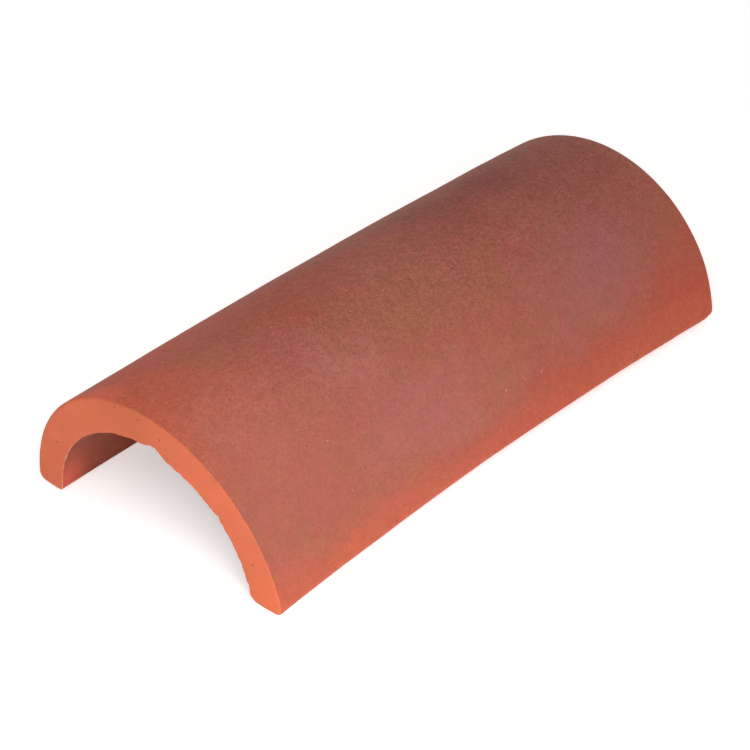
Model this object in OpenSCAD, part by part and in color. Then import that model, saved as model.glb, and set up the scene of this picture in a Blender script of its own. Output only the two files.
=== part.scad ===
// Half-round clay ridge tile, pressed and fired in one piece.
//
// The tile stands on its two feet on the XY plane. Its length runs along Y,
// its span along X and its crown points up. The origin is on the floor, below
// the middle of the crown. Firing has bowed the tile a little: the middle of
// its length stands higher than its ends, so it rests on the four ends of its
// feet, and each end face is square to the bow.

/* [Tile] */
// Length of the tile, from end face to end face along the feet
tile_length = 450; // [300:5:600]
// Span across the outside of the section's arc at the floor
tile_width = 226; // [190:1:300]
// Height of the crown's outside above the feet, in the section
tile_height = 105; // [75:0.5:110]

/* [Wall] */
// Thickness of the wall at the crown
crown_wall = 25; // [15:0.5:35]
// Thickness of the wall at the feet, measured along the floor
foot_wall = 23.5; // [15:0.5:35]

/* [Feet] */
// Radius of the rounded edge on the outside of a foot
outer_edge_radius = 6; // [2:0.5:9]
// Radius of the rounded edge on the inside of a foot
inner_edge_radius = 4; // [1:0.5:5]

/* [Firing] */
// Rise of the middle of the length over the two ends
bow_rise = 5.5; // [2:0.5:15]

/* [Hidden] */

clay_colour = [0.66, 0.35, 0.28];
// Circle segments in the section, and in the bow's very large circle
section_fn = 180;
bow_fn = 4320;
// How far a cutting shape reaches past what it cuts
over = 10;
// How far a foot's edge circle reaches through the wall's arc. The two cross
// there, where circles that only touch would leave a sliver between them.
crossing = 0.01;

// Radius of the circle whose arc stands on a chord and rises to a height
function arc_radius(chord, rise) = (chord * chord / 4 + rise * rise) / (2 * rise);

// Outside and inside arcs of the section: radius, and height of the centre
outer_radius = arc_radius(tile_width, tile_height);
outer_centre = tile_height - outer_radius;
inner_rise = tile_height - crown_wall;
inner_radius = arc_radius(tile_width - 2 * foot_wall, inner_rise);
inner_centre = inner_rise - inner_radius;

// The bow: radius of the arc that the feet follow, and half of its angle
bow_radius = arc_radius(tile_length, bow_rise);
bow_half_angle = asin(tile_length / 2 / bow_radius);

// Centre of the circle that rounds a foot's edge: it rests on the floor and
// lies at a given distance from the centre of the wall's arc
function edge_centre(edge_radius, arc_centre, distance) =
    [sqrt(distance * distance - pow(edge_radius - arc_centre, 2)), edge_radius];

outer_edge = edge_centre(
    outer_edge_radius, outer_centre, outer_radius - outer_edge_radius + crossing);
inner_edge = edge_centre(
    inner_edge_radius, inner_centre, inner_radius + inner_edge_radius - crossing);

// What one rounded edge takes off a foot: the wedge between the floor and the
// line from the arc's centre through the edge circle's centre, less the edge
// circle itself. side is 1 on the outside of the foot and -1 on the inside.
module corner_off(edge, edge_radius, arc_centre, side) {
    from_arc = edge - [0, arc_centre];
    away = side * from_arc / norm(from_arc);
    reach = edge_radius + over;
    difference() {
        polygon([
            edge,
            [edge.x, -over],
            [edge.x + side * reach, -over],
            edge + reach * away
        ]);
        translate(edge) circle(r = edge_radius, $fn = section_fn);
    }
}

// The section across the tile: the wall between two arcs, cut off at the
// floor, with both edges of each foot rounded
module wall_section() {
    difference() {
        translate([0, outer_centre]) circle(r = outer_radius, $fn = section_fn);
        translate([0, inner_centre]) circle(r = inner_radius, $fn = section_fn);
        translate([-tile_width, -2 * outer_radius]) square([2 * tile_width, 2 * outer_radius]);
        for (flip = [0, 1])
            mirror([flip, 0]) {
                corner_off(outer_edge, outer_edge_radius, outer_centre, 1);
                corner_off(inner_edge, inner_edge_radius, inner_centre, -1);
            }
    }
}

// The tile: the section turned through the bow's shallow arc, about an axis
// that lies far below the tile and across it
module ridge_tile() {
    color(clay_colour)
        translate([0, 0, bow_rise - bow_radius])
            rotate([0, -90, 0])
                rotate([0, 0, -bow_half_angle])
                    rotate_extrude(angle = 2 * bow_half_angle, $fn = bow_fn)
                        translate([bow_radius, 0])
                            rotate(-90)
                                wall_section();
}

ridge_tile();
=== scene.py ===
"""Looks of a half-round clay ridge tile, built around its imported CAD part.

The tile is one piece of fired clay. Its visible surface is worked out with numpy as a thick arched wall,
carried along the length with its arrises and feet, worn, bent to the tile's bow and drawn in at its waist.
One fired clay material covers it, laid from three finishes: the sanded outside, the bare underside and the
wire-cut ends.
"""

import logging
import math
from dataclasses import dataclass
from enum import Enum
from typing import NamedTuple

import bpy
import numpy as np
from mathutils import Matrix, Vector


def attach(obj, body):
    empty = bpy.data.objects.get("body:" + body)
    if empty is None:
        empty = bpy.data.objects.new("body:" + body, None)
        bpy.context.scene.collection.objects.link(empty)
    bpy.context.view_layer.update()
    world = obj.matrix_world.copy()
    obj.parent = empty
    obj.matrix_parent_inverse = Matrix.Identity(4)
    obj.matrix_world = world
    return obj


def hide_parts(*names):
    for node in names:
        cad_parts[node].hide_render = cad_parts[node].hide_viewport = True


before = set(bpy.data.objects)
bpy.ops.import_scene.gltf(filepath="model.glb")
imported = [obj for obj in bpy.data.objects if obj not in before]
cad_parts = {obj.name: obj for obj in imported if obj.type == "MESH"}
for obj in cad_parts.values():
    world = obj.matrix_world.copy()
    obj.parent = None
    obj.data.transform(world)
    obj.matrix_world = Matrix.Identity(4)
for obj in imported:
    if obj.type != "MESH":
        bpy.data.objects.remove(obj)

log = logging.getLogger("ridge_tile")


# Colours and nodes


def linear(code: str) -> tuple[float, float, float, float]:
    """Turn an sRGB hex colour into the linear colour that a shader socket holds.

    Args:
        code: Six hex digits, with or without a leading hash.

    Returns:
        Red, green, blue and an alpha of one, all linear.
    """
    code = code.lstrip("#")
    channels = [int(code[start:start + 2], 16) / 255.0 for start in (0, 2, 4)]
    return (*(c / 12.92 if c <= 0.04045 else ((c + 0.055) / 1.055) ** 2.4 for c in channels), 1.0)


# What a link starts from: a socket, or a node, whose first output is then meant
Source = bpy.types.Node | bpy.types.NodeSocket
# Settings that make a Mix node mix colours
PAINT = {"data_type": "RGBA", "clamp_factor": True}


def add_node(tree: bpy.types.NodeTree, kind: str, settings: dict | None = None,
             links: dict | None = None) -> bpy.types.Node:
    """Add one node with its settings and links.

    Args:
        tree: The node tree that gets the node.
        kind: The node's Blender type name.
        settings: Values by property name, or by an input's name or number.
        links: Sources to link, by input name or number.

    Returns:
        The new node.
    """
    node = tree.nodes.new(kind)
    inputs = {}
    for name, value in (settings or {}).items():
        if isinstance(name, str) and name in node.bl_rna.properties:
            setattr(node, name, value)
        else:
            inputs[name] = value
    for name, value in inputs.items():
        node.inputs[name].default_value = value
    for name, source in (links or {}).items():
        tree.links.new(source.outputs[0] if isinstance(source, bpy.types.Node) else source, node.inputs[name])
    return node


# Patterns and stains


class Fade(NamedTuple):
    """A share that fades smoothly while a value runs between two.

    value is what is read, between the two values where the fade starts and ends, and share the shares at
    those two and beyond them.
    """

    value: Source
    between: tuple[float, float]
    share: tuple[float, float] = (0.0, 1.0)


def strength(tree: bpy.types.NodeTree, *shares: Fade | Source) -> Source:
    """Multiply shares into how much of something shows.

    Args:
        tree: The node tree.
        shares: The shares, each a fade to work out first or a source.

    Returns:
        Their product.
    """
    total = None
    for share in shares:
        if isinstance(share, Fade):
            settings = {"interpolation_type": "SMOOTHSTEP",
                        "From Min": share.between[0], "From Max": share.between[1],
                        "To Min": share.share[0], "To Max": share.share[1]}
            share = add_node(tree, "ShaderNodeMapRange", settings, {"Value": share.value})
        if total is not None:
            share = add_node(tree, "ShaderNodeMath", {"operation": "MULTIPLY"}, {0: total, 1: share})
        total = share
    return total


def stain(tree: bpy.types.NodeTree, base: Source | str, pigment: str, *shares: Fade | Source) -> Source:
    """Stain a colour.

    Args:
        tree: The node tree.
        base: The colour under the stain, a source or an sRGB hex colour.
        pigment: The stain's sRGB hex colour.
        shares: How much of the stain shows, as shares to multiply.

    Returns:
        The stained colour.
    """
    settings = {**PAINT, 7: linear(pigment)}
    links = {0: strength(tree, *shares)}
    if isinstance(base, str):
        settings[6] = linear(base)
    else:
        links[6] = base
    return add_node(tree, "ShaderNodeMix", settings, links).outputs[2]


def relief(tree: bpy.types.NodeTree, *layers: tuple[Source, float]) -> Source:
    """Add up layers of relief.

    Args:
        tree: The node tree.
        layers: For each layer its pattern, and how high it stands at full strength, in metres.

    Returns:
        The height in metres.
    """
    height = None
    for pattern, metres in layers:
        below = {} if height is None else {2: height}
        height = add_node(tree, "ShaderNodeMath", {"operation": "MULTIPLY_ADD", 1: metres, 2: 0.0},
                          {0: pattern, **below})
    return height


@dataclass(frozen=True)
class Lumps:
    """Soft lumps of a real size: the clay's clouds, blots and grains.

    size is a lump's size in metres, layers how many finer layers lie on it and rough how strong each finer
    one is. stretch is how many times longer a lump is along X, Y and Z, and shift moves the pattern, so that
    two of a size differ.
    """

    size: float
    layers: float = 2.0
    rough: float = 0.5
    stretch: tuple[float, float, float] = (1.0, 1.0, 1.0)
    shift: float = 0.0

    def over(self, tree: bpy.types.NodeTree, place: Source) -> bpy.types.Node:
        """Spread the lumps over a surface.

        Args:
            tree: The node tree.
            place: Coordinates in metres.

        Returns:
            The node that holds the lumps, with a Fac and a Color output.
        """
        scale = tuple(1.0 / times for times in self.stretch)
        moved = add_node(tree, "ShaderNodeMapping", {"Scale": scale, "Location": (self.shift,) * 3},
                         {"Vector": place})
        settings = {"Scale": 1.0 / self.size, "Detail": self.layers, "Roughness": self.rough}
        return add_node(tree, "ShaderNodeTexNoise", settings, {"Vector": moved})


@dataclass(frozen=True)
class Specks:
    """Round specks, one at most in each cell of a random mesh.

    gap is a cell's size and radius a speck's, in metres, kept the share of cells that hold a speck, and share
    how much of a speck's colour shows.
    """

    gap: float
    radius: float
    kept: float
    share: float

    def over(self, tree: bpy.types.NodeTree, place: Source) -> Source:
        """Spread the specks over a surface: full to 0.6 of the radius, and gone at 1.3 times the radius.

        Args:
            tree: The node tree.
            place: Coordinates in metres.

        Returns:
            A mask, zero between the specks and their share in them.
        """
        cells = add_node(tree, "ShaderNodeTexVoronoi", {"Scale": 1.0 / self.gap}, {"Vector": place})
        pick = add_node(tree, "ShaderNodeSeparateColor", {}, {"Color": cells.outputs["Color"]})
        held = add_node(tree, "ShaderNodeMath", {"operation": "LESS_THAN", 1: self.kept}, {0: pick})
        radius = self.radius / self.gap
        round_spot = Fade(cells.outputs["Distance"], (0.6 * radius, 1.3 * radius), (self.share, 0.0))
        return strength(tree, round_spot, held)


class Coat(NamedTuple):
    """What a finish gives the shader: its colour, its roughness, and its relief's height in metres."""

    colour: Source
    roughness: Source
    height: Source

    def covered(self, tree: bpy.types.NodeTree, coat: "Coat", where: Source) -> "Coat":
        """Lay another coat over this one.

        Args:
            tree: The node tree.
            coat: The other coat.
            where: How much of the other coat shows.

        Returns:
            The two as one coat.
        """
        colour = add_node(tree, "ShaderNodeMix", PAINT, {0: where, 6: self.colour, 7: coat.colour}).outputs[2]
        roughness, height = (
            add_node(tree, "ShaderNodeMix", {"data_type": "FLOAT"}, {0: where, 2: under, 3: over})
            for under, over in ((self.roughness, coat.roughness), (self.height, coat.height)))
        return Coat(colour, roughness, height)


# Finishes of the fired clay


@dataclass(frozen=True)
class Arc:
    """An arc that stands on a chord: its radius, and the height of its centre over the chord."""

    radius: float
    centre: float

    @classmethod
    def over(cls, chord: float, rise: float) -> "Arc":
        """Give the arc over a chord that rises to a height: radius = (chord^2 / 4 + rise^2) / (2 rise)."""
        radius = (chord * chord / 4.0 + rise * rise) / (2.0 * rise)
        return cls(radius, rise - radius)

    def raised(self, by: float) -> "Arc":
        """Give the same arc standing higher."""
        return Arc(self.radius, self.centre + by)

    def spot(self, around_deg: float, along: float) -> tuple[float, float, float]:
        """Give the point of the arc at an angle from the crown towards +X, that far along the length."""
        turn = math.radians(around_deg)
        return self.radius * math.sin(turn), along, self.centre + self.radius * math.cos(turn)


@dataclass(frozen=True)
class TonePatch:
    """A patch of colour with soft edges: most are what the kiln's flame left, some painted shade and light.

    around_deg is the angle from the crown towards +X, along the distance from the middle of the length, and
    reach the patch's half sizes across and along, in metres. share is how much of its colour shows.
    """

    around_deg: float
    along: float
    reach: tuple[float, float]
    colour: str
    share: float


def lay_tone_patches(tree: bpy.types.NodeTree, place: Source, colour: Source, tone_patches: tuple[TonePatch, ...],
                arc: Arc) -> Source:
    """Lay patches over a colour, in order.

    Args:
        tree: The material's node tree.
        place: Coordinates in metres.
        colour: The colour under the patches.
        tone_patches: The patches.
        arc: The arc that their middles lie on.

    Returns:
        The colour with the patches on it.
    """
    for tone_patch in tone_patches:
        across, along = tone_patch.reach
        settings = {"vector_type": "TEXTURE", "Location": arc.spot(tone_patch.around_deg, tone_patch.along),
                    "Scale": (across, along, across)}
        near = add_node(tree, "ShaderNodeMapping", settings, {"Vector": place})
        away = add_node(tree, "ShaderNodeVectorMath", {"operation": "LENGTH"}, {0: near}).outputs["Value"]
        colour = stain(tree, colour, tone_patch.colour, Fade(away, (0.0, 1.0), (tone_patch.share, 0.0)))
    return colour


# Patches on the outside
SKIN_TONE_PATCHES = (
    # Orange at the near end, and rosy to the right of it
    TonePatch(-8, -0.220, (0.095, 0.095), "#A6482E", 0.90),
    TonePatch(30, -0.190, (0.080, 0.080), "#9D5649", 0.75),
    TonePatch(6, -0.238, (0.110, 0.034), "#A64B2B", 0.65),
    # Brownish red to the left of the crown, partly painted shade
    TonePatch(-15, -0.070, (0.036, 0.130), "#8F3F27", 0.75),
    TonePatch(-4, -0.070, (0.034, 0.060), "#903F29", 0.70),
    # A bright orange red below it along the left, partly painted rim light
    TonePatch(-34, -0.170, (0.045, 0.200), "#AC4833", 0.90),
    TonePatch(-31, -0.228, (0.050, 0.026), "#CC563D", 0.90),
    TonePatch(-45, 0.060, (0.045, 0.260), "#9A4738", 0.70),
    # Brown over the middle
    TonePatch(18, -0.010, (0.060, 0.080), "#8C533E", 0.60),
    TonePatch(29, -0.100, (0.046, 0.060), "#97594F", 0.60),
    # Darker towards the far end; the darkest, on its left, is painted shade
    TonePatch(2, 0.080, (0.050, 0.100), "#85433A", 0.60),
    TonePatch(12, 0.165, (0.095, 0.090), "#864940", 0.75),
    TonePatch(-14, 0.120, (0.040, 0.110), "#6E3129", 0.62),
    # Purple at the far right, and mauve down the right flank
    TonePatch(42, 0.130, (0.055, 0.100), "#8B4F4E", 0.80),
    TonePatch(54, -0.070, (0.045, 0.110), "#93554D", 0.65),
    TonePatch(66, 0.060, (0.030, 0.080), "#8C4A43", 0.50),
    # Orange red again along the far right foot
    TonePatch(80, 0.080, (0.042, 0.190), "#963F2C", 0.80),
    TonePatch(74, 0.205, (0.070, 0.080), "#9A3F2C", 0.85),
    # A paler far rim, and orange at its right
    TonePatch(0, 0.238, (0.100, 0.034), "#A46C60", 0.60),
    TonePatch(52, 0.240, (0.080, 0.028), "#A84B37", 0.30),
)
# Patches on the near cut end: a browner one round the crown, and a brighter one at the right foot
END_FLASHES = (
    TonePatch(-6, -0.225, (0.062, 0.030), "#A95536", 0.90),
    TonePatch(86, -0.225, (0.040, 0.030), "#C8643E", 0.80),
)
# Patches on the underside: a lighter, redder one inside each near foot, painted light from the open end
UNDER_MOUTH_LIGHT = (
    TonePatch(-84, -0.222, (0.036, 0.026), "#AC4D37", 0.90),
    TonePatch(84, -0.222, (0.036, 0.026), "#A44B36", 0.80),
)


@dataclass(frozen=True)
class SandFacedSkin:
    """Outside of the tile: clay pressed in a sanded mould and flashed in the kiln.

    It is matt and brownish red, clouded by the flame from rosy to smoky brown, with an orange red edge along
    the feet, fine dark grit all over and a few pale grains of lime. Its clouds are from 36 mm down to 1 mm
    across. The grains of sand are 1 mm, twice as coarse as moulding sand so that they show, and they lie in
    4 mm clumps and 14 mm blots. The lowest 45 mm burnt a cleaner orange red, where the feet stood clear of
    the smoke.
    """

    rosy: str = "#90493F"
    tawny: str = "#8B4F3A"
    sand: str = "#B3826C"
    grit: str = "#552A23"
    lime: str = "#E2BFB0"
    edge: str = "#A34A32"
    edge_height: tuple[float, float] = (0.003, 0.045)
    tone_patches: tuple[TonePatch, ...] = SKIN_TONE_PATCHES
    clouds: Lumps = Lumps(0.036, 5.0, 0.95)
    wander: Lumps = Lumps(0.050)
    grains: Lumps = Lumps(0.0017, 2.0, 0.65)
    clumps: Lumps = Lumps(0.0045, 2.0, 0.6, shift=0.7)
    blots: Lumps = Lumps(0.014, shift=0.4)
    pinholes: Specks = Specks(0.0050, 0.0007, 0.45, 0.30)
    lime_grains: Specks = Specks(0.011, 0.0006, 0.30, 0.30)

    def lay_tones(self, tree: bpy.types.NodeTree, place: Source, arc: Arc) -> Source:
        """Lay the tones: clouds, patches, some of them painted shade and light, and the edge along the feet.

        The patches' outlines wander by some 15 mm, and the edge's by some 6 mm.

        Args:
            tree: The material's node tree.
            place: Object coordinates in metres.
            arc: Arc of the outside.

        Returns:
            The colour.
        """
        wander = add_node(tree, "ShaderNodeVectorMath", {"operation": "SUBTRACT", 1: (0.5, 0.5, 0.5)},
                          {0: self.wander.over(tree, place).outputs["Color"]})
        patches, feet = (
            add_node(tree, "ShaderNodeVectorMath", {"operation": "MULTIPLY_ADD", 1: (metres,) * 3},
                     {0: wander, 2: place})
            for metres in (0.060, 0.024))
        clouds = self.clouds.over(tree, place)
        colour = stain(tree, self.tawny, self.rosy, Fade(clouds, (0.40, 0.60)))
        # Some patches are painted shade left of the crown, and painted rim light along the left
        colour = lay_tone_patches(tree, patches, colour, self.tone_patches, arc)
        height = add_node(tree, "ShaderNodeSeparateXYZ", {}, {"Vector": feet}).outputs["Z"]
        return stain(tree, colour, self.edge, Fade(height, self.edge_height, (0.80, 0.0)))

    def lay(self, tree: bpy.types.NodeTree, place: Source, arc: Arc) -> Coat:
        """Lay the finish.

        Args:
            tree: The material's node tree.
            place: Object coordinates in metres.
            arc: Arc of the outside.

        Returns:
            The finish's colour, roughness and height.
        """
        grains, clumps, blots = (lumps.over(tree, place) for lumps in (self.grains, self.clumps, self.blots))
        # The sand lies thinner on the right flank and towards the near end
        spot = add_node(tree, "ShaderNodeSeparateXYZ", {}, {"Vector": place})
        thick = strength(tree, Fade(spot.outputs["X"], (0.020, 0.095), (1.20, 0.60)),
                         Fade(spot.outputs["Y"], (-0.200, -0.020), (0.78, 1.0)))
        colour = self.lay_tones(tree, place, arc)
        colour = stain(tree, colour, self.sand, Fade(grains, (0.44, 0.74), (0.0, 0.20)), thick)
        colour = stain(tree, colour, self.grit, Fade(grains, (0.26, 0.50), (0.30, 0.0)), thick)

        # Clumps and blots make it a few hundredths lighter or darker
        clumped = strength(tree, Fade(clumps, (0.30, 0.70), (-0.08, 0.08)), thick)
        shade = add_node(tree, "ShaderNodeMath", {"operation": "ADD"},
                         {0: clumped, 1: strength(tree, Fade(blots, (0.30, 0.70), (0.97, 1.03)))})
        colour = add_node(tree, "ShaderNodeMix", {**PAINT, "blend_type": "MULTIPLY", 0: 1.0},
                          {6: colour, 7: shade}).outputs[2]

        pinholes = self.pinholes.over(tree, place)
        colour = stain(tree, colour, self.grit, pinholes)
        colour = stain(tree, colour, self.lime, self.lime_grains.over(tree, place))
        height = relief(tree, (grains, 0.00022), (clumps, 0.00030), (pinholes, -0.00033))
        return Coat(colour, strength(tree, Fade(grains, (0.3, 0.7), (0.82, 0.94))), height)


@dataclass(frozen=True)
class BareUnderside:
    """Underside of the tile: clay that lay on the former, never sanded.

    It is a darker red brown, with 40 mm clouds and faint streaks 6 mm wide along the length, where the clay
    dragged on the former.
    """

    ground: str = "#783523"
    dark: str = "#662D1D"
    warm: str = "#874027"
    tone_patches: tuple[TonePatch, ...] = UNDER_MOUTH_LIGHT
    clouds: Lumps = Lumps(0.040, 3.0, 0.55, shift=1.3)
    streaks: Lumps = Lumps(0.006, 3.0, 0.55, stretch=(1.0, 14.0, 1.0))
    grains: Lumps = Lumps(0.0020, 3.0, 0.6, shift=0.2)

    def lay(self, tree: bpy.types.NodeTree, place: Source, arc: Arc) -> Coat:
        """Lay the finish.

        Args:
            tree: The material's node tree.
            place: Object coordinates in metres.
            arc: Arc of the inside.

        Returns:
            The finish's colour, roughness and height.
        """
        clouds, streaks, grains = (lumps.over(tree, place)
                                   for lumps in (self.clouds, self.streaks, self.grains))
        colour = stain(tree, self.ground, self.dark, Fade(clouds, (0.38, 0.66)))
        colour = stain(tree, colour, self.warm, Fade(streaks, (0.48, 0.72), (0.0, 0.4)))
        # The patches are painted light, where it comes in at each near open end
        colour = lay_tone_patches(tree, place, colour, self.tone_patches, arc)
        height = relief(tree, (grains, 0.00030), (streaks, 0.00050))
        return Coat(colour, strength(tree, Fade(grains, (0.3, 0.7), (0.80, 0.92))), height)


@dataclass(frozen=True)
class WireCutBody:
    """Cut ends: the clay's own body, cut by a wire while soft and fired to a clean orange.

    It is smooth and matt, with clouds of 11 and 18 mm between orange and ochre, a faint 1 mm grain and a few
    dark pits 1.6 mm across.
    """

    ground: str = "#BC5D3E"
    bright: str = "#C0603F"
    ochre: str = "#B15E38"
    grain: str = "#8E3F2A"
    pit: str = "#6E2C1E"
    tone_patches: tuple[TonePatch, ...] = END_FLASHES
    clouds: Lumps = Lumps(0.018, shift=2.1)
    blots: Lumps = Lumps(0.011, shift=3.4)
    grains: Lumps = Lumps(0.0018, 2.0, 0.6, shift=0.9)
    pits: Specks = Specks(0.0075, 0.0008, 0.50, 0.70)

    def lay(self, tree: bpy.types.NodeTree, place: Source, arc: Arc) -> Coat:
        """Lay the finish.

        Args:
            tree: The material's node tree.
            place: Object coordinates in metres.
            arc: Arc of the outside.

        Returns:
            The finish's colour, roughness and height.
        """
        clouds, blots, grains = (lumps.over(tree, place) for lumps in (self.clouds, self.blots, self.grains))
        colour = stain(tree, self.ground, self.bright, Fade(clouds, (0.42, 0.66)))
        colour = stain(tree, colour, self.ochre, Fade(blots, (0.50, 0.72), (0.0, 0.50)))
        colour = lay_tone_patches(tree, place, colour, self.tone_patches, arc)
        pits = self.pits.over(tree, place)
        colour = stain(tree, colour, self.pit, pits)
        colour = stain(tree, colour, self.grain, Fade(grains, (0.30, 0.56), (0.16, 0.0)))
        height = relief(tree, (grains, 0.00012), (pits, -0.00057))
        return Coat(colour, strength(tree, Fade(grains, (0.3, 0.7), (0.78, 0.90))), height)


class Mask(Enum):
    """Mesh attributes that say where each finish lies."""

    CUT = "cut_end"
    UNDER = "under_side"


@dataclass(frozen=True)
class FiredTerracotta:
    """Unglazed fired terracotta: porous clay with no shine, so it looks the same from every side."""

    skin: SandFacedSkin = SandFacedSkin()
    underside: BareUnderside = BareUnderside()
    body: WireCutBody = WireCutBody()
    # Colour of the highlight painted on the left inner arris
    arris_highlight: str = "#D58D70"
    seam: Lumps = Lumps(0.004, 2.0, 0.6, shift=0.5)
    # Lumps that make the painted highlight come and go along the arris
    highlight_breaks: Lumps = Lumps(0.007, shift=1.9)

    def paint_arris_highlight(self, tree: bpy.types.NodeTree, place: Source, colour: Source) -> Source:
        """Paint a highlight: a thin paler line where the inner arris at the left foot catches the light.

        Args:
            tree: The material's node tree.
            place: Object coordinates in metres.
            colour: The colour under the line.

        Returns:
            The colour with the line on it.
        """
        cut, under = (add_node(tree, "ShaderNodeAttribute", {"attribute_name": mask.value}).outputs["Fac"]
                      for mask in (Mask.CUT, Mask.UNDER))
        across = add_node(tree, "ShaderNodeSeparateXYZ", {}, {"Vector": place}).outputs["X"]
        breaks = self.highlight_breaks.over(tree, place)
        # A painted highlight on the left foot's inner arris, uneven along its length
        return stain(tree, colour, self.arris_highlight,
                     Fade(cut, (0.05, 0.40)), Fade(cut, (0.80, 1.00), (1.0, 0.0)),
                     Fade(under, (0.85, 1.00)), Fade(across, (-0.085, -0.050), (1.0, 0.0)),
                     Fade(breaks, (0.35, 0.65), (0.15, 0.85)))

    def material(self, outside: Arc, inside: Arc) -> bpy.types.Material:
        """Build the material: the skin, with the underside and then the cut ends laid over it.

        The finishes meet along lines that wander by about a millimetre.

        Args:
            outside: Arc of the outside.
            inside: Arc of the inside.

        Returns:
            The material.
        """
        material = bpy.data.materials.new("fired_terracotta_sand_faced")
        material.use_nodes = True
        tree = material.node_tree
        tree.nodes.clear()
        place = add_node(tree, "ShaderNodeTexCoord").outputs["Object"]
        seam = strength(tree, Fade(self.seam.over(tree, place), (0.3, 0.7), (-0.18, 0.18)))
        clay = self.skin.lay(tree, place, outside)
        for coat, mask, between in ((self.underside.lay(tree, place, inside), Mask.UNDER, (0.25, 0.75)),
                                    (self.body.lay(tree, place, outside), Mask.CUT, (0.22, 0.85))):
            where = add_node(tree, "ShaderNodeAttribute", {"attribute_name": mask.value}).outputs["Fac"]
            where = add_node(tree, "ShaderNodeMath", {"operation": "ADD"}, {0: where, 1: seam})
            clay = clay.covered(tree, coat, strength(tree, Fade(where, between)))
        bump = add_node(tree, "ShaderNodeBump", {"Strength": 1.0, "Distance": 1.0}, {"Height": clay.height})
        # The base colour carries the highlight painted on the left inner arris
        shader = add_node(tree, "ShaderNodeBsdfPrincipled",
                          {"IOR": 1.5, "Specular IOR Level": 0.28, "Diffuse Roughness": 0.8},
                          {"Base Color": self.paint_arris_highlight(tree, place, clay.colour),
                           "Roughness": clay.roughness, "Normal": bump})
        add_node(tree, "ShaderNodeOutputMaterial", {}, {"Surface": shader})
        return material


# Shape of the tile


def lattice_noise(points: np.ndarray, cell: float, seed: int) -> np.ndarray:
    """Work out smooth noise in space.

    Every corner of a cubic lattice holds a random value, and inside a cell the eight corners are blended with
    the curve 6t^5 - 15t^4 + 10t^3 along each axis.

    Args:
        points: Points in metres, one in each row.
        cell: The lattice's spacing in metres.
        seed: The seed of the random values.

    Returns:
        One value from -1 to 1 for each point.
    """
    spot = points / cell
    low = np.floor(spot.min(axis=0)).astype(int)
    size = np.floor(spot.max(axis=0)).astype(int) - low + 2
    values = np.random.default_rng(seed).uniform(-1.0, 1.0, tuple(size))
    base = np.floor(spot).astype(int)
    t = spot - base
    t = t * t * t * (t * (t * 6.0 - 15.0) + 10.0)
    i, j, k = (base - low).T
    total = np.zeros(len(points))
    for a in (0, 1):
        for b in (0, 1):
            for c in (0, 1):
                weight = (np.where(a, t[:, 0], 1 - t[:, 0]) * np.where(b, t[:, 1], 1 - t[:, 1])
                          * np.where(c, t[:, 2], 1 - t[:, 2]))
                total += weight * values[i + a, j + b, k + c]
    return total


def smooth_step(value: np.ndarray, low: float, high: float) -> np.ndarray:
    """Rise from 0 at low to 1 at high along the curve 3t^2 - 2t^3."""
    t = np.clip((value - low) / (high - low), 0.0, 1.0)
    return t * t * (3.0 - 2.0 * t)


class Sides(NamedTuple):
    """The section's four sides, each an array of points (x, z) from one foot corner to the next."""

    outer: np.ndarray
    right_foot: np.ndarray
    inner: np.ndarray
    left_foot: np.ndarray


class Ring(NamedTuple):
    """The section's outline as one ring: its points, their unit normals, and how far each is underneath."""

    points: np.ndarray
    normal: np.ndarray
    under: np.ndarray


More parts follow.
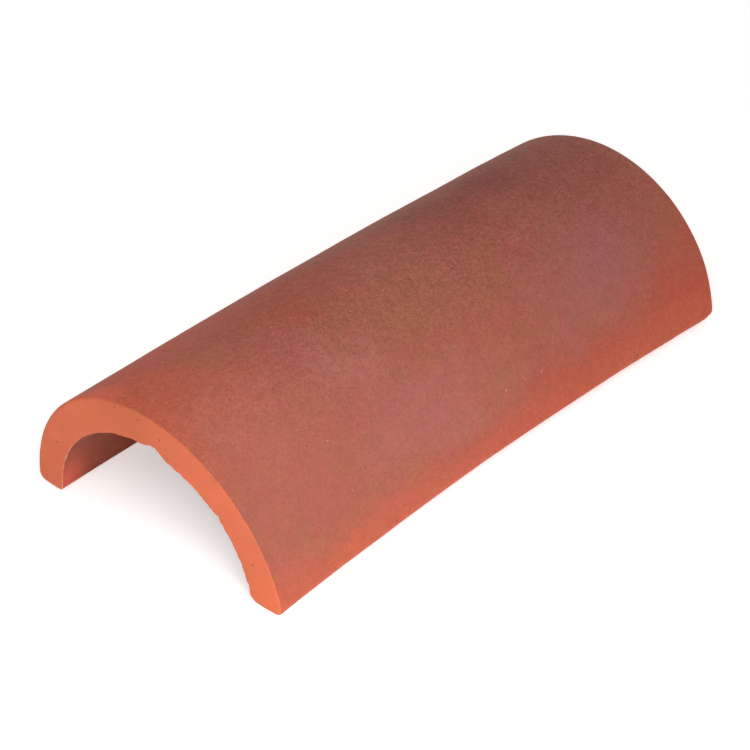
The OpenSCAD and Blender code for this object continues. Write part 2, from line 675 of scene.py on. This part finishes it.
@dataclass(frozen=True)
class WallSection:
    """The section across the tile: a wall between two arcs, on two feet with rounded edges.

    The sizes are in metres and hold for the straight tile, before the bow, the waist and the wear.
    """

    span: float = 0.2270
    height: float = 0.1058
    crown_wall: float = 0.0256
    foot_wall: float = 0.0235
    outer_edge_radius: float = 0.006
    inner_edge_radius: float = 0.004

    @property
    def outside(self) -> Arc:
        """Arc of the outside."""
        return Arc.over(self.span, self.height)

    @property
    def inside(self) -> Arc:
        """Arc of the inside."""
        return Arc.over(self.span - 2.0 * self.foot_wall, self.height - self.crown_wall)

    @staticmethod
    def spread(line: np.ndarray, cells: int, crowding: float = 2.0, reach: float = 0.010) -> np.ndarray:
        """Place points along a line, closer together towards its two ends.

        The points divide evenly the running sum of length times 1 + crowding * (e^-(s/reach)^2 at each end).

        Args:
            line: A fine polyline of points (x, z).
            cells: How many steps the result has.
            crowding: How much closer the points lie at the ends.
            reach: How far that crowding reaches, in metres.

        Returns:
            The points, cells + 1 of them, from the line's first to its last.
        """
        step = np.linalg.norm(np.diff(line, axis=0), axis=1)
        run = np.concatenate([[0.0], np.cumsum(step)])
        middle = (run[1:] + run[:-1]) / 2.0
        near = np.exp(-((middle / reach) ** 2)) + np.exp(-(((run[-1] - middle) / reach) ** 2))
        sum_to = np.concatenate([[0.0], np.cumsum(step * (1.0 + crowding * near))])
        at = np.interp(np.linspace(0.0, sum_to[-1], cells + 1), sum_to, run)
        return np.stack([np.interp(at, run, line[:, 0]), np.interp(at, run, line[:, 1])], axis=1)

    def sides(self, round_cells: int, foot_cells: int) -> Sides:
        """Work out the outline.

        Each foot edge is a circle that rests on the floor and touches the wall's arc: its centre is one edge
        radius up, and one edge radius from the arc. A side ends halfway round that circle.

        Args:
            round_cells: Steps along the outside, and along the inside.
            foot_cells: Steps across a foot.

        Returns:
            The four sides, clockwise seen from the front: over the top to the right, across the right foot,
            back under the arch to the left, and across the left foot.
        """
        out, ins = self.outside, self.inside
        ro, ri = self.outer_edge_radius, self.inner_edge_radius
        outer_edge = np.array([math.sqrt((out.radius - ro) ** 2 - (ro - out.centre) ** 2), ro])
        inner_edge = np.array([math.sqrt((ins.radius + ri) ** 2 - (ri - ins.centre) ** 2), ri])
        outer_turn = math.atan2(ro - out.centre, outer_edge[0])
        inner_turn = math.atan2(ri - ins.centre, inner_edge[0])
        outer_corner = (outer_turn - math.pi / 2) / 2
        inner_corner = (inner_turn - math.pi * 3 / 2) / 2

        def sweep(centre: np.ndarray, radius: float, start: float, end: float, count: int) -> np.ndarray:
            """Give points on a circle from one angle to another."""
            angle = np.linspace(start, end, count)
            return centre + radius * np.stack([np.cos(angle), np.sin(angle)], axis=1)

        # Fine points to measure along: every 0.06 mm on the arcs, and closer on the edges
        on_arc, on_edge = 3000, 200
        half_outer = np.concatenate([
            sweep(np.array([0.0, out.centre]), out.radius, math.pi / 2, outer_turn, on_arc),
            sweep(outer_edge, ro, outer_turn, outer_corner, on_edge)[1:]])
        right_foot = np.concatenate([
            sweep(outer_edge, ro, outer_corner, -math.pi / 2, on_edge),
            sweep(inner_edge, ri, -math.pi / 2, inner_corner, on_edge)])
        half_inner = np.concatenate([
            sweep(inner_edge, ri, inner_corner, inner_turn - math.pi, on_edge),
            sweep(np.array([0.0, ins.centre]), ins.radius, inner_turn, math.pi / 2, on_arc)[1:]])
        flip = np.array([-1.0, 1.0])
        outer = np.concatenate([(half_outer * flip)[::-1], half_outer[1:]])
        inner = np.concatenate([half_inner, (half_inner * flip)[::-1][1:]])
        left_foot = (right_foot * flip)[::-1]
        foot = {"crowding": 1.0, "reach": 0.005}
        return Sides(self.spread(outer, round_cells), self.spread(right_foot, foot_cells, **foot),
                     self.spread(inner, round_cells), self.spread(left_foot, foot_cells, **foot))

    def ring(self, round_cells: int, foot_cells: int) -> Ring:
        """Join the four sides: underneath is 0 on the outside, 1 on the inside, and rises across each foot.

        Args:
            round_cells: Steps along the outside, and along the inside.
            foot_cells: Steps across a foot.

        Returns:
            The ring, in the order of the sides.
        """
        points = np.concatenate([side[:-1] for side in self.sides(round_cells, foot_cells)])
        ahead = np.roll(points, -1, axis=0) - np.roll(points, 1, axis=0)
        ahead /= np.linalg.norm(ahead, axis=1)[:, None]
        across = np.arange(foot_cells) / foot_cells
        under = np.concatenate([np.zeros(round_cells), across, np.ones(round_cells), 1.0 - across])
        return Ring(points, np.stack([-ahead[:, 1], ahead[:, 0]], axis=1), under)


class Surface(NamedTuple):
    """Points of the tile's surface while it is straight, with what the later steps need to know of each.

    place is where a point lies, outward its unit normal, cut how far it belongs to a cut end, under how far
    it belongs to the underside, and faces the quads between the points.
    """

    place: np.ndarray
    outward: np.ndarray
    cut: np.ndarray
    under: np.ndarray
    faces: np.ndarray


@dataclass(frozen=True)
class Dent:
    """A bite out of the near mouth's inner arris.

    around is where its middle lies along the inside, from the crown towards the right, half_width how wide it
    is, bite how deep it goes into the wall and reach how far it runs in from the end, all in metres.
    """

    around: float
    half_width: float
    bite: float
    reach: float

    def lost(self, around: np.ndarray, depth: np.ndarray) -> np.ndarray:
        """Work out the clay that is lost: bite * e^-((s - around) / half_width)^2 * e^-(depth / reach)^2."""
        across = np.exp(-(((around - self.around) / self.half_width) ** 2))
        return self.bite * across * np.exp(-((depth / self.reach) ** 2))


@dataclass(frozen=True)
class TornMouth:
    """What the wire did along the near mouth's inner arris as it left the clay.

    It dragged out a lip on the right, toothed by the clay's grain, and tore out a chip next to the crown and
    a nick lower down. Sizes are in metres, and places run along the inside from the crown towards the right.
    The lip rises over lip_start, doubles over lip_doubles and is single again after lip_halves, and the teeth
    rise over teeth_start. reach is how far the lip and the teeth run in from the end.
    """

    lip: float = 0.0010
    tooth: float = 0.0009
    lip_start: tuple[float, float] = (0.017, 0.021)
    lip_doubles: tuple[float, float] = (0.082, 0.092)
    lip_halves: tuple[float, float] = (0.114, 0.124)
    teeth_start: tuple[float, float] = (0.012, 0.021)
    reach: float = 0.0035
    chip: Dent = Dent(0.010, 0.0063, 0.0029, 0.0060)
    nick: Dent = Dent(0.0705, 0.0018, 0.0020, 0.0040)

    def pull(self, surface: Surface, inside: Arc, depth: np.ndarray) -> np.ndarray:
        """Work out how the points move towards the inside arc's centre, or away from it in a dent.

        The pull is e^-(depth / reach)^2 * (lip + teeth) - dents. It starts four fifths of the way across the
        wall, and is full on the underside.

        Args:
            surface: The straight surface.
            inside: Arc of the inside.
            depth: Each point's distance from the near end.

        Returns:
            The points' moves.
        """
        turn = np.arctan2(surface.place[:, 0], surface.place[:, 2] - inside.centre)
        around = turn * inside.radius
        line = np.stack([around, np.zeros_like(around), np.zeros_like(around)], axis=1)
        teeth = 0.6 * lattice_noise(line, 0.0050, 21) + 0.6 * lattice_noise(line, 0.0021, 22)
        lip = smooth_step(around, *self.lip_start) * (1.0 + smooth_step(around, *self.lip_doubles)
                                                      - smooth_step(around, *self.lip_halves))
        dragged = self.lip * lip + self.tooth * teeth * smooth_step(around, *self.teeth_start)
        lost = self.chip.lost(around, depth) + self.nick.lost(around, depth)
        torn = smooth_step(surface.under, 0.80, 1.0) * (np.exp(-((depth / self.reach) ** 2)) * dragged - lost)
        inward = np.stack([-np.sin(turn), np.zeros_like(turn), -np.cos(turn)], axis=1)
        return inward * torn[:, None]


@dataclass(frozen=True)
class SlumpedFoot:
    """How the near right foot swelled under the soft tile's own weight, in metres.

    swell is how far it swelled inwards and drop how far its sole went down. length is how far that runs from
    the near end, height how far the swelling climbs, and sole how thick the layer is that went down.
    """

    swell: float = 0.0033
    drop: float = 0.0014
    length: float = 0.110
    height: float = 0.024
    sole: float = 0.006

    def slump(self, surface: Surface, depth: np.ndarray) -> np.ndarray:
        """Work out how the points move.

        They go inwards by swell * e^-(z / height)^2 on the sole and the underside, and down by
        drop * e^-(z / sole)^2 * sin(pi (0.2 + 0.8 u)), where u is how far a point is underneath. Both fade
        along the length by e^-(depth / length)^2.

        Args:
            surface: The straight surface.
            depth: Each point's distance from the near end.

        Returns:
            The points' moves.
        """
        near = np.exp(-((depth / self.length) ** 2)) * (surface.place[:, 0] > 0)
        low = np.exp(-((surface.place[:, 2] / self.height) ** 2))
        across = np.sin(np.pi * np.clip(surface.under * 0.8 + 0.2, 0, 1))
        down = np.exp(-((surface.place[:, 2] / self.sole) ** 2)) * across
        inwards = self.swell * near * low * smooth_step(surface.under, 0.3, 1.0)
        return np.stack([-inwards, np.zeros_like(near), -self.drop * near * down], axis=1)


@dataclass(frozen=True)
class RidgeTile:
    """The tile: one piece of clay, with the small faults that making and firing left in it.

    All sizes are in metres. length is measured along the feet, bow is how much higher the middle of the
    length stands, waist how much each side draws in at the middle, and lift how far the plane of the feet
    stands over the floor, on the swollen foot. lost_corner is how far the far right foot's outer corner was
    knocked back, and corner_reach how much of the foot that took.
    """

    section: WallSection = WallSection()
    mouth: TornMouth = TornMouth()
    foot: SlumpedFoot = SlumpedFoot()
    length: float = 0.450
    bow: float = 0.0055
    waist: float = 0.00294
    lift: float = 0.0016
    outer_arris: float = 0.0019
    inner_arris: float = 0.0011
    lost_corner: float = 0.0022
    corner_reach: float = 0.0050
    round_cells: int = 232
    foot_cells: int = 16
    arris_rows: int = 6
    bulge_cells: float = 14.0

    def rows(self, under: np.ndarray) -> tuple[np.ndarray, np.ndarray, np.ndarray]:
        """Lay out the rows from the near end to the far one, finer towards the ends.

        They lie 1.2 mm apart over the mouth, 2.6 mm over the next 28 mm and 3.9 mm in between. At each end
        they turn through the arris, a quarter circle of radius r: inset r - r cos(angle), depth
        r - r sin(angle). r runs from the outer arris to the inner one across the wall.

        Args:
            under: How far each point of a row is underneath.

        Returns:
            Each point's inset from the section's outline and its distance along from the middle, row by row,
            and how far each row's normals lean towards the far end, as a sine.
        """
        radius = self.outer_arris + (self.inner_arris - self.outer_arris) * smooth_step(under, 0.2, 0.8)
        turn = np.linspace(math.pi / 2, 0.0, self.arris_rows + 1)
        depth = np.concatenate([np.linspace(0.0028, 0.012, 9), np.linspace(0.014, 0.040, 11),
                                np.linspace(0.044, self.length / 2, 47)])
        flat = np.zeros((len(depth), len(under)))
        inset = np.concatenate([radius * (1.0 - np.cos(turn))[:, None], flat])
        deep = np.concatenate([radius * (1.0 - np.sin(turn))[:, None], flat + depth[:, None]])
        lean = np.concatenate([np.sin(turn), np.zeros(len(depth))])
        # The far half is the near half turned round, without the row that both share
        return (np.concatenate([inset, inset[-2::-1]]),
                np.concatenate([deep - self.length / 2, (self.length / 2 - deep)[-2::-1]]),
                np.concatenate([-lean, lean[-2::-1]]))

    def straight(self) -> Surface:
        """Build the surface before it is bent.

        A ring of points runs round the section: the outside, the right foot, the inside and the left foot.
        Rows of that ring lie along the length, and at each end a grid from the outside's points to the
        inside's closes the cut.

        Returns:
            The surface's points and faces.
        """
        # m steps run along the outside and along the inside, and k across each foot
        m, k = self.round_cells, self.foot_cells
        ring, normal, under = self.section.ring(m, k)
        inset, along, lean = self.rows(under)
        row_count, count = inset.shape
        section = ring[None] - inset[..., None] * normal[None]
        place = np.stack([section[..., 0], along, section[..., 1]], axis=-1)
        flat = np.sqrt(1.0 - lean ** 2)[:, None]
        outward = np.stack([flat * normal[None, :, 0], np.repeat(lean[:, None], count, 1),
                            flat * normal[None, :, 1]], axis=-1)
        # The cut's own colour starts a quarter of the way round the arris
        cut = np.repeat(smooth_step(np.abs(lean), 0.35, 1.0)[:, None], count, 1)

        ids = np.arange(row_count)[:, None] * count + np.arange(count)[None]
        a, b = ids[:-1], ids[1:]
        faces = [np.stack([a, np.roll(a, -1, 1), np.roll(b, -1, 1), b], axis=-1).reshape(-1, 4)]
        places, outwards = [place.reshape(-1, 3)], [outward.reshape(-1, 3)]
        cuts, unders = [cut.ravel()], [np.tile(under, row_count)]
        start = row_count * count
        for end, first in ((-1.0, 0), (1.0, (row_count - 1) * count)):
            edge = place[0] if end < 0 else place[-1]
            inner, grid, new = self.end_grid(edge, first, start)
            quads = np.stack([grid[:-1, :-1], grid[:-1, 1:], grid[1:, 1:], grid[1:, :-1]], axis=-1)
            faces.append(quads.reshape(-1, 4)[:, ::int(-end)])
            places.append(inner)
            outwards.append(np.tile([0.0, end, 0.0], (new, 1)))
            cuts.append(np.ones(new))
            unders.append(np.tile(np.arange(1, k) / k, m - 1))
            start += new
        return Surface(np.concatenate(places), np.concatenate(outwards), np.concatenate(cuts),
                       np.concatenate(unders), np.concatenate(faces))

    def end_grid(self, edge: np.ndarray, first: int, start: int) -> tuple[np.ndarray, np.ndarray, int]:
        """Fill a cut end inside its ring, with the same m and k steps.

        A point is the outside's and the inside's points opposite each other, mixed by its share of the way
        across the wall, plus the feet's own bulge, which fades out by (1 - steps / bulge_cells)^2.

        Args:
            edge: The ring's points at that end.
            first: The number of the ring's first point.
            start: The number that the first new point gets.

        Returns:
            The new points, the grid of point numbers, and how many points are new.
        """
        m, k = self.round_cells, self.foot_cells
        outer, right = edge[:m + 1], edge[m:m + k + 1]
        inner = edge[m + k:2 * m + k + 1][::-1]
        left = np.concatenate([edge[2 * m + k:], edge[:1]])[::-1]
        step = np.linalg.norm(np.diff(right, axis=0), axis=1)
        share = np.concatenate([[0.0], np.cumsum(step) / step.sum()])[None, :, None]
        grid = outer[:, None] * (1 - share) + inner[:, None] * share
        bulge = (np.clip(1.0 - np.arange(m + 1) / self.bulge_cells, 0.0, None) ** 2)[:, None, None]
        grid += bulge * (left - grid[0])[None] + bulge[::-1] * (right - grid[-1])[None]
        ids = np.empty((m + 1, k + 1), dtype=int)
        count = 2 * m + 2 * k
        ids[:, 0] = np.arange(m + 1)
        ids[m] = m + np.arange(k + 1)
        ids[:, k] = (2 * m + k - np.arange(m + 1)) % count
        ids[0] = (2 * m + 2 * k - np.arange(k + 1)) % count
        ids += first
        new = (m - 1) * (k - 1)
        ids[1:m, 1:k] = start + np.arange(new).reshape(m - 1, k - 1)
        return grid[1:m, 1:k].reshape(-1, 3), ids, new

    def worn(self, surface: Surface) -> np.ndarray:
        """Move the straight surface's points as making, cutting, firing and handling did.

        Waves 60, 21 and 6 mm long and up to 0.2 mm high run over all of it, and 9 mm ones over the underside,
        drawn out four times along the length. The near mouth is torn, the near right foot slumped, and the
        far right foot's outer corner is knocked round: it moves by lost_corner * e^-(distance /
        corner_reach)^2, up and into the clay.

        Args:
            surface: The straight surface.

        Returns:
            The moved points.
        """
        place = surface.place
        push = 0.00022 * lattice_noise(place, 0.060, 11) + 0.00012 * lattice_noise(place, 0.021, 12)
        push += surface.under * (0.00022 * lattice_noise(place * [1.0, 0.25, 1.0], 0.009, 13))
        push += 0.00005 * lattice_noise(place, 0.006, 14)
        depth = place[:, 1] + self.length / 2
        moved = place + surface.outward * push[:, None] + self.mouth.pull(surface, self.section.inside, depth)
        moved += self.foot.slump(surface, depth)
        corner = np.array([self.section.span / 2, self.length / 2, 0.0])
        away = np.linalg.norm(place - corner, axis=1)
        gone = self.lost_corner * np.exp(-((away / self.corner_reach) ** 2))
        return moved + gone[:, None] * np.array([-0.5, -0.7, 0.5])

    def bent(self, place: np.ndarray) -> np.ndarray:
        """Bend the points to the bow and the waist.

        The length lies on an arc of radius R that rises by the bow: a point at y and z goes to
        ((R + z) sin a, (R + z) cos a - R + bow + lift), where a is the arc's half angle times 2y / length.
        Across, each side is drawn in by the waist times 1 - (2y / length)^2.

        Args:
            place: Points of the straight tile.

        Returns:
            The points in the frame.
        """
        bow = Arc.over(self.length, self.bow)
        half = math.asin(self.length / 2 / bow.radius)
        share = place[:, 1] / (self.length / 2)
        turn = half * share
        drawn = 1.0 - 2.0 * self.waist / self.section.span * (1.0 - share ** 2)
        far = bow.radius + place[:, 2]
        return np.stack([place[:, 0] * drawn, far * np.sin(turn),
                         far * np.cos(turn) - bow.radius + self.bow + self.lift], axis=1)

    def build(self, finish: FiredTerracotta) -> bpy.types.Object:
        """Build the tile and dress it.

        Args:
            finish: The clay's finish.

        Returns:
            The finished piece, which stands for the CAD node.
        """
        surface = self.straight()
        place = self.bent(self.worn(surface))
        mesh = bpy.data.meshes.new("ridge_tile_clay")
        mesh.vertices.add(len(place))
        mesh.vertices.foreach_set("co", place.astype(np.float32).ravel())
        mesh.loops.add(surface.faces.size)
        mesh.loops.foreach_set("vertex_index", surface.faces.astype(np.int32).ravel())
        mesh.polygons.add(len(surface.faces))
        mesh.polygons.foreach_set("loop_start", np.arange(0, surface.faces.size, 4, dtype=np.int32))
        mesh.update(calc_edges=True)
        for mask, values in ((Mask.CUT, surface.cut), (Mask.UNDER, surface.under)):
            layer = mesh.attributes.new(mask.value, "FLOAT", "POINT")
            layer.data.foreach_set("value", values.astype(np.float32))
        mesh.shade_smooth()
        piece = bpy.data.objects.new("ridge_tile_clay", mesh)
        bpy.context.scene.collection.objects.link(piece)
        rise = self.lift + self.bow
        outside, inside = (arc.raised(rise) for arc in (self.section.outside, self.section.inside))
        mesh.materials.append(finish.material(outside, inside))
        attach(piece, "root")
        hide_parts("ridge_tile")
        return piece


# Studio


@dataclass(frozen=True)
class SoftBox:
    """A square soft light: where it stands round its target, its size, power in watts and colour."""

    azimuth_deg: float
    elevation_deg: float
    distance: float
    size: float
    power: float
    target: tuple[float, float, float] = (0.0, 0.0, 0.05)
    colour: str = "#FFFFFF"


def orbit(azimuth_deg: float, elevation_deg: float) -> Vector:
    """Give the direction out to a point round the tile: azimuth 0 is in front, and 90 on its right."""
    a, e = math.radians(azimuth_deg), math.radians(elevation_deg)
    return Vector((math.sin(a) * math.cos(e), -math.cos(a) * math.cos(e), math.sin(e)))


@dataclass(frozen=True)
class Studio:
    """A plain pale floor, soft lights and the camera.

    aim is where the camera's middle looks, distance how far off it stands, and lens its focal length on a
    36 mm sensor. The white surround glows by horizon at the floor's edge and by surround overhead, and falls
    from one to the other over horizon_band, which is the sine of the angle above the floor.
    """

    aim: tuple[float, float, float] = (0.00247, -0.01842, 0.02856)
    azimuth_deg: float = 43.40
    elevation_deg: float = 33.22
    roll_deg: float = -1.918
    distance: float = 1.6148
    lens: float = 112.95
    floor_size: float = 60.0
    floor_colour: str = "#F4F3F1"
    floor_glow: float = 0.44
    surround: float = 0.32
    horizon: float = 0.78
    horizon_band: tuple[float, float] = (0.04, 0.22)
    lights: tuple[SoftBox, ...] = (
        SoftBox(55.0, 38.0, 0.8, 0.6, 5.7, (0.05, -0.20, 0.05)),
        SoftBox(75.0, 22.0, 0.8, 0.6, 3.9, (0.05, -0.20, 0.05)),
        SoftBox(-135.0, 15.0, 1.3, 0.9, 3.0, (0.0, -0.15, 0.05)),
        SoftBox(-90.0, 15.0, 1.3, 0.9, 5.5, (0.0, -0.15, 0.05)),
    )

    def floor(self) -> None:
        """Lay the floor: matt white paper, even and bright, so that it shows only the tile's shadow."""
        half = self.floor_size / 2
        mesh = bpy.data.meshes.new("floor")
        mesh.from_pydata([(-half, -half, 0), (half, -half, 0), (half, half, 0), (-half, half, 0)], [],
                         [(0, 1, 2, 3)])
        floor = bpy.data.objects.new("floor", mesh)
        bpy.context.scene.collection.objects.link(floor)
        material = bpy.data.materials.new("matt_white_paper")
        material.use_nodes = True
        tree = material.node_tree
        tree.nodes.clear()
        shader = add_node(tree, "ShaderNodeBsdfPrincipled", {
            "Base Color": linear(self.floor_colour), "Roughness": 1.0, "Specular IOR Level": 0.0,
            "Emission Color": linear("#FFFFFF"), "Emission Strength": self.floor_glow})
        add_node(tree, "ShaderNodeOutputMaterial", {}, {"Surface": shader})
        mesh.materials.append(material)

    def light(self) -> None:
        """Set the white surround and the soft lights."""
        world = bpy.data.worlds.new("white_surround")
        world.use_nodes = True
        tree = world.node_tree
        tree.nodes.clear()
        toward = add_node(tree, "ShaderNodeTexCoord").outputs["Generated"]
        height = add_node(tree, "ShaderNodeSeparateXYZ", {}, {"Vector": toward}).outputs["Z"]
        glow = strength(tree, Fade(height, self.horizon_band, (self.horizon, self.surround)))
        background = add_node(tree, "ShaderNodeBackground", {"Color": linear("#FFFFFF")},
                              {"Strength": glow})
        add_node(tree, "ShaderNodeOutputWorld", {}, {"Surface": background})
        bpy.context.scene.world = world
        for number, box in enumerate(self.lights):
            data = bpy.data.lights.new(f"soft_light_{number}", "AREA")
            data.shape = "SQUARE"
            data.size = box.size
            data.energy = box.power
            data.color = linear(box.colour)[:3]
            lamp = bpy.data.objects.new(data.name, data)
            out = orbit(box.azimuth_deg, box.elevation_deg)
            lamp.location = Vector(box.target) + out * box.distance
            lamp.rotation_euler = out.to_track_quat("Z", "Y").to_euler()
            bpy.context.scene.collection.objects.link(lamp)

    def camera(self) -> None:
        """Place the camera and make it the scene's."""
        data = bpy.data.cameras.new("camera")
        data.sensor_width = 36.0
        data.lens = self.lens
        camera = bpy.data.objects.new("camera", data)
        out = orbit(self.azimuth_deg, self.elevation_deg)
        turn = out.to_track_quat("Z", "Y").to_matrix() @ Matrix.Rotation(math.radians(self.roll_deg), 3, "Z")
        camera.matrix_world = Matrix.Translation(Vector(self.aim) + out * self.distance) @ turn.to_4x4()
        bpy.context.scene.collection.objects.link(camera)
        bpy.context.scene.camera = camera

    def build(self) -> None:
        """Build the floor, the lights and the camera, and set the plain view transform."""
        self.floor()
        self.light()
        self.camera()
        view = bpy.context.scene.view_settings
        view.view_transform = "Standard"
        view.look = "None"


def main() -> None:
    """Build the tile and the studio."""
    logging.basicConfig(level=logging.INFO, format="%(message)s")
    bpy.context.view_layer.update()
    piece = RidgeTile().build(FiredTerracotta())
    log.info("%s: %d points, %d faces", piece.name, len(piece.data.vertices), len(piece.data.polygons))
    studio = Studio()
    studio.build()
    log.info("studio: a floor, %d soft lights and a camera", len(studio.lights))


if __name__ == "__main__":
    main()
